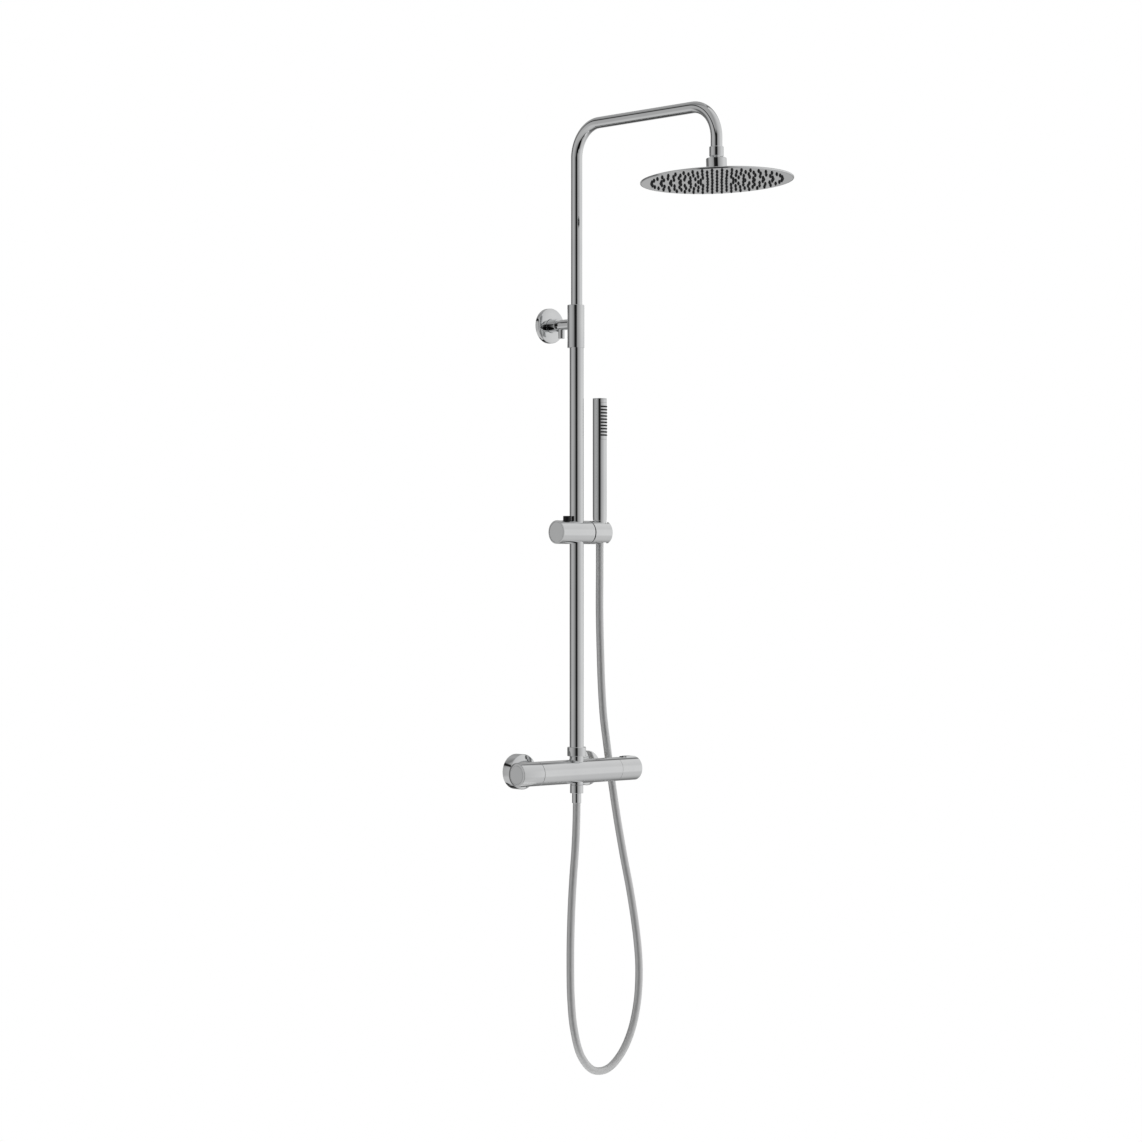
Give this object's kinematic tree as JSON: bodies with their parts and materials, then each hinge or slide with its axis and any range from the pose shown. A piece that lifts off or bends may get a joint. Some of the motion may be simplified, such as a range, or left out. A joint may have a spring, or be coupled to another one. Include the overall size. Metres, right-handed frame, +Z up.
{
  "type": "shower column",
  "caption": "Wall-hung shower column: thermostatic bar valve, telescopic riser, swivelling rain head on an arm, and a stick hand shower in a sliding, tilting cradle.",
  "frame": {"origin": "on the wall face, midway between the two water inlets and at their height", "axes": "+Y into the wall, +Z up along the riser, +X to the right for someone facing the wall"},
  "size_m": [0.286, 0.5326, 1.6313],
  "materials": {
    "chrome": "polished",
    "steel": "satin",
    "brass": "satin",
    "black_plastic": "satin",
    "grey_plastic": "matte",
    "silicone": "matte",
    "seal_rubber": "matte",
    "hose_cover": "satin"
  },
  "bodies": {
    "column": {"valve_body": "chrome", "thermostatic_cartridge": "brass", "flow_cartridge": "brass", "temperature_stop_ring": "grey_plastic", "hose_nut": "chrome", "hose_ferrule_lower": "chrome", "inlet_nut_left": "chrome", "inlet_nut_right": "chrome", "check_valve_left": "grey_plastic", "check_valve_right": "grey_plastic", "inlet_union_left": "brass", "inlet_union_right": "brass", "inlet_rosette_left": "chrome", "inlet_rosette_right": "chrome", "riser_nut": "chrome", "lower_riser_tube": "chrome", "bracket_sleeve": "chrome", "sleeve_grub_screw": "steel", "bracket_pin": "chrome", "bracket_post": "chrome", "bracket_wall_plate": "steel", "bracket_rosette": "chrome", "shower_hose": "hose_cover"},
    "flow_control": {"flow_handle": "chrome", "flow_handle_insert": "grey_plastic", "flow_spindle": "brass", "flow_handle_cap": "chrome"},
    "temperature_control": {"temperature_handle": "chrome", "temperature_handle_insert": "grey_plastic", "temperature_spindle": "brass", "temperature_handle_cap": "chrome", "stop_button_spring": "steel"},
    "safety_stop": {"stop_button": "black_plastic"},
    "slider": {"slider_body": "chrome", "slider_bush": "grey_plastic", "clamp_shoe": "black_plastic", "clamp_spring": "steel", "slider_end_cap": "chrome", "tilt_axle": "steel", "friction_washer": "seal_rubber"},
    "slider_release": {"release_button": "black_plastic"},
    "cradle": {"holder": "chrome", "holder_liner": "grey_plastic"},
    "hand_shower": {"hose_cone_nut": "chrome", "hose_ferrule_upper": "chrome", "handset_body": "chrome", "handset_top_cap": "chrome", "handset_face": "chrome", "handset_nozzles": "silicone", "handset_water_tube": "grey_plastic"},
    "upper_tube": {"tube_bush": "grey_plastic"},
    "arm": {"shower_arm": "chrome", "arm_collar": "chrome", "swivel_ball": "chrome"},
    "head_swivel": {"ball_seat": "grey_plastic"},
    "head": {"ball_nut": "chrome", "head_shell": "chrome", "spray_chamber": "grey_plastic", "head_face_plate": "chrome", "nozzle_mat": "silicone"}
  },
  "joints": [
    {"name": "flow_handle_turn", "type": "hinge", "parent": "column", "child": "flow_control", "pos_m": [-0.114, -0.072, 0], "axis": [1, 0, 0], "range_deg": [-90, 90]},
    {"name": "temperature_handle_turn", "type": "hinge", "parent": "column", "child": "temperature_control", "pos_m": [0.114, -0.072, 0], "axis": [1, 0, 0], "range_deg": [-180, 60]},
    {"name": "stop_button_press", "type": "slide", "parent": "temperature_control", "child": "safety_stop", "axis": [0, 0, -1], "range_m": [0, 0.002], "stiffness_N_per_m": 400, "springref_m": -0.002, "deforming": ["stop_button_spring"]},
    {"name": "slider_slide", "type": "slide", "parent": "column", "child": "slider", "axis": [0, 0, 1], "range_m": [-0.12, 0.18], "deforming": ["shower_hose"]},
    {"name": "release_button_press", "type": "slide", "parent": "slider", "child": "slider_release", "axis": [0, 0, -1], "range_m": [0, 0.003], "stiffness_N_per_m": 400, "springref_m": -0.003},
    {"name": "holder_tilt", "type": "hinge", "parent": "slider", "child": "cradle", "pos_m": [0.047, -0.072, 0.408], "axis": [1, 0, 0], "range_deg": [-10, 45], "deforming": ["shower_hose"]},
    {"name": "hand_shower_lift", "type": "slide", "parent": "cradle", "child": "hand_shower", "axis": [0, 0, 1], "range_m": [0, 0.1], "deforming": ["shower_hose"]},
    {"name": "tube_extension", "type": "slide", "parent": "column", "child": "upper_tube", "axis": [0, 0, 1], "range_m": [-0.15, 0.08]},
    {"name": "arm_swivel", "type": "hinge", "parent": "upper_tube", "child": "arm", "pos_m": [0, -0.072, 0.85], "axis": [0, 0, 1], "range_deg": [-75, 75]},
    {"name": "head_turn", "type": "hinge", "parent": "arm", "child": "head_swivel", "pos_m": [0, -0.4065, 1.001], "axis": [0, 0, 1], "continuous": true},
    {"name": "head_tilt", "type": "hinge", "parent": "head_swivel", "child": "head", "pos_m": [0, -0.4065, 1.001], "axis": [1, 0, 0], "range_deg": [-7, 12]}
  ]
}
